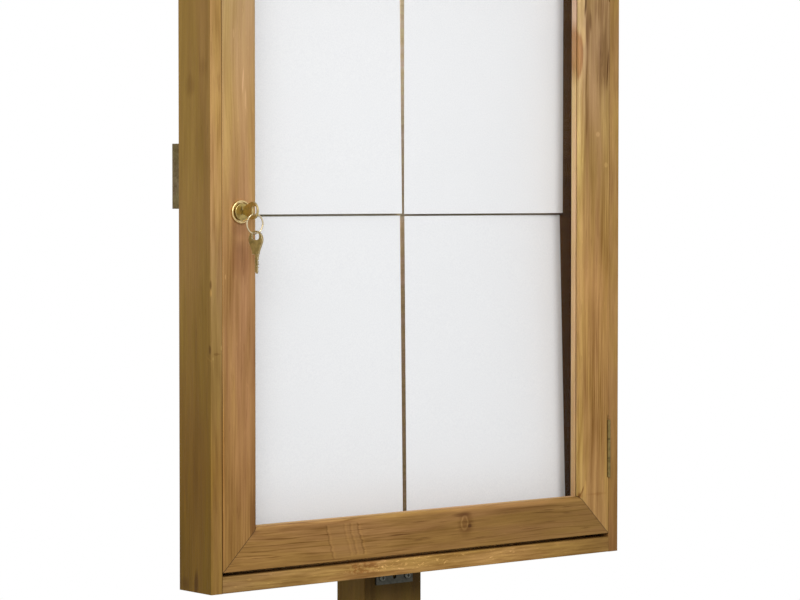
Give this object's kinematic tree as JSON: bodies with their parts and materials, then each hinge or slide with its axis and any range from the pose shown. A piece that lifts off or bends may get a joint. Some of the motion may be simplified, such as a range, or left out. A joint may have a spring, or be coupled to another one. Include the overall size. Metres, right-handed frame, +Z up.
{
  "type": "lockable notice board",
  "caption": "Shallow wooden notice case on a post, with a glazed hinged door, a cam lock with keys, and paper sheets inside.",
  "frame": {"origin": "centre of the post's foot, on the ground", "axes": "+Z up along the post, +Y from the glazed front into the board, +X to the right as seen from the front"},
  "size_m": [0.512, 0.1241, 2.0835],
  "materials": {
    "wood_case": "oiled",
    "wood_door": "oiled",
    "wood_post": "pressure treated, rough sawn",
    "board_back": "raw board",
    "glass": "clear",
    "paper": "matte white paper",
    "putty": "matte",
    "steel_bracket": "zinc plated, dulled",
    "steel_screw": "zinc plated",
    "brass_hinge": "dulled",
    "brass_lock": "polished",
    "brass_key": "polished, slightly worn"
  },
  "bodies": {
    "stand_and_case": {"post": "wood_post", "cross_batten": "wood_post", "batten_screws": "steel_screw", "post_screws": "steel_screw", "angle_bracket": "steel_bracket", "bracket_screws": "steel_screw", "case_side_left": "wood_case", "case_side_right": "wood_case", "case_top": "wood_case", "case_bottom": "wood_case", "corner_dowels": "wood_case", "back_panel": "board_back", "back_panel_pins": "steel_screw", "door_stop_lower": "wood_case", "door_stop_upper": "wood_case", "door_stop_pins": "steel_screw", "sheet_upper_left": "paper", "sheet_upper_right": "paper", "sheet_lower_left": "paper", "sheet_lower_right": "paper", "sheet_putty": "putty", "hinge_lower_case_leaf": "brass_hinge", "hinge_upper_case_leaf": "brass_hinge", "hinge_lower_pin": "brass_hinge", "hinge_upper_pin": "brass_hinge", "hinge_case_screws": "brass_hinge"},
    "door": {"door_stile_left": "wood_door", "door_stile_right": "wood_door", "door_rail_top": "wood_door", "door_rail_bottom": "wood_door", "door_corner_splines": "wood_door", "glazing_pane": "glass", "glazing_bead_left": "wood_door", "glazing_bead_right": "wood_door", "glazing_bead_top": "wood_door", "glazing_bead_bottom": "wood_door", "bead_pins": "steel_screw", "hinge_lower_door_leaf": "brass_hinge", "hinge_upper_door_leaf": "brass_hinge", "hinge_door_screws": "brass_hinge", "lock_barrel": "brass_lock", "lock_nut": "steel_screw"},
    "lock_core": {"lock_plug": "brass_lock", "lock_cam": "steel_screw", "cam_screw": "steel_screw"},
    "key": {"lock_key": "brass_key"},
    "ring": {"key_ring": "brass_key"},
    "key_on_ring": {"spare_key": "brass_key"}
  },
  "joints": [
    {"name": "door_swing", "type": "hinge", "parent": "stand_and_case", "child": "door", "pos_m": [0.24275, -0.0722, 1.738], "axis": [0, 0, 1], "range_deg": [0, 175]},
    {"name": "lock_turn", "type": "hinge", "parent": "door", "child": "lock_core", "pos_m": [-0.2225, -0.072, 1.7375], "axis": [0, 1, 0], "range_deg": [0, 90]},
    {"name": "key_pull", "type": "slide", "parent": "lock_core", "child": "key", "axis": [0, -1, 0], "range_m": [0, 0.025]},
    {"name": "key_ring_swing", "type": "hinge", "parent": "key", "child": "ring", "pos_m": [-0.2225, -0.094, 1.7356], "axis": [1, 0, 0], "range_deg": [-80, 18]},
    {"name": "spare_key_swing", "type": "hinge", "parent": "ring", "child": "key_on_ring", "pos_m": [-0.2213, -0.094, 1.71788], "axis": [1, 0, 0], "range_deg": [-60, 28]}
  ]
}
